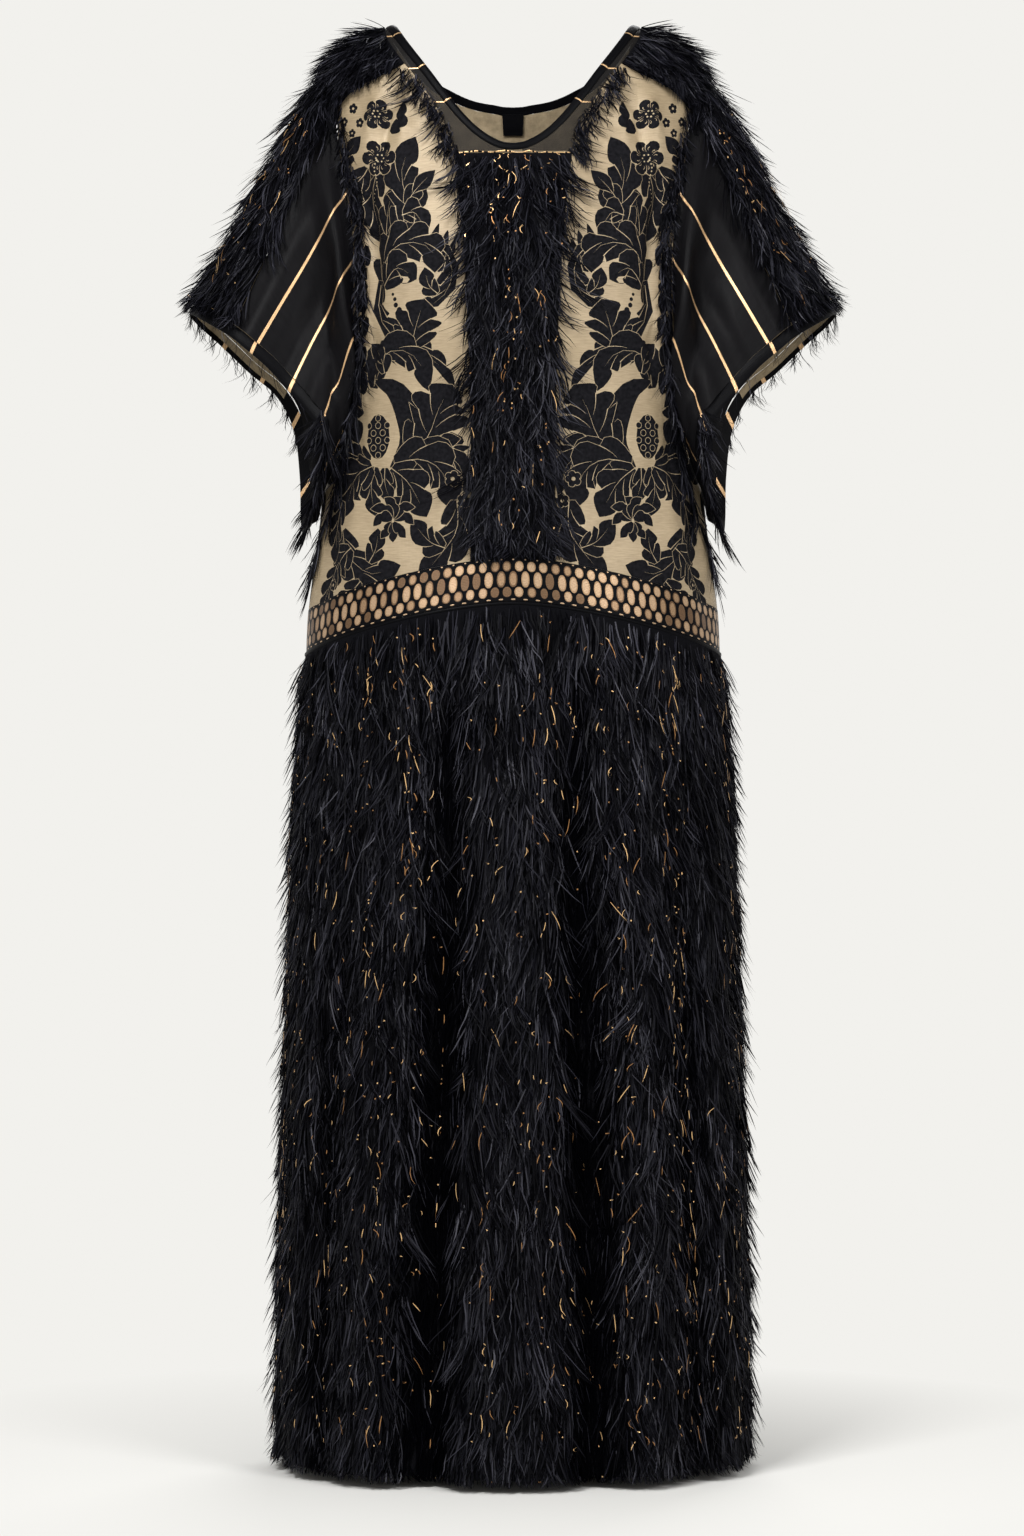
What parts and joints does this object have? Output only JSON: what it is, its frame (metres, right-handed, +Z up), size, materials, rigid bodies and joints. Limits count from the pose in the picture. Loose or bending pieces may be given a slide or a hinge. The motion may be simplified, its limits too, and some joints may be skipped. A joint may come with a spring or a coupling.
{
  "type": "fringed kaftan gown",
  "caption": "Floor-length kaftan with short wide sleeves, a shaggy pile skirt, damask bodice panels, a pile placket and a woven hip band, in its worn, hollow shape.",
  "frame": {"origin": "midway between the two high shoulder points, where the wearer's shoulders carry the garment", "axes": "+Z up, -Y out of the garment's front, +X to the wearer's left"},
  "size_m": [0.6524, 0.3576, 1.4412],
  "materials": {
    "satin": "black satin",
    "damask": "champagne gold damask",
    "organza": "sheer black organza",
    "pile": "long black cut-thread pile",
    "gold_thread": "gold thread",
    "hip_band": "bronze jacquard"
  },
  "bodies": {
    "root": {"armhole_fringe_left": "pile", "armhole_fringe_right": "pile", "back_panel": "damask", "front_panel_left": "damask", "front_panel_right": "damask", "front_placket": "pile", "hip_band_back": "hip_band", "hip_band_front": "hip_band", "neck_binding": "satin", "neck_label": "satin", "placket_piping": "gold_thread", "shoulder_left": "pile", "shoulder_right": "pile", "skirt_back": "pile", "skirt_front": "pile", "sleeve_back_left": "satin", "sleeve_back_right": "satin", "sleeve_binding_left": "satin", "sleeve_binding_right": "satin", "sleeve_fringe_left": "satin", "sleeve_fringe_right": "satin", "sleeve_front_left": "satin", "sleeve_front_right": "satin", "sleeve_top_left": "pile", "sleeve_top_right": "pile", "yoke_fringe_left": "pile", "yoke_fringe_right": "pile", "yoke_left": "organza", "yoke_right": "organza"}
  },
  "joints": []
}
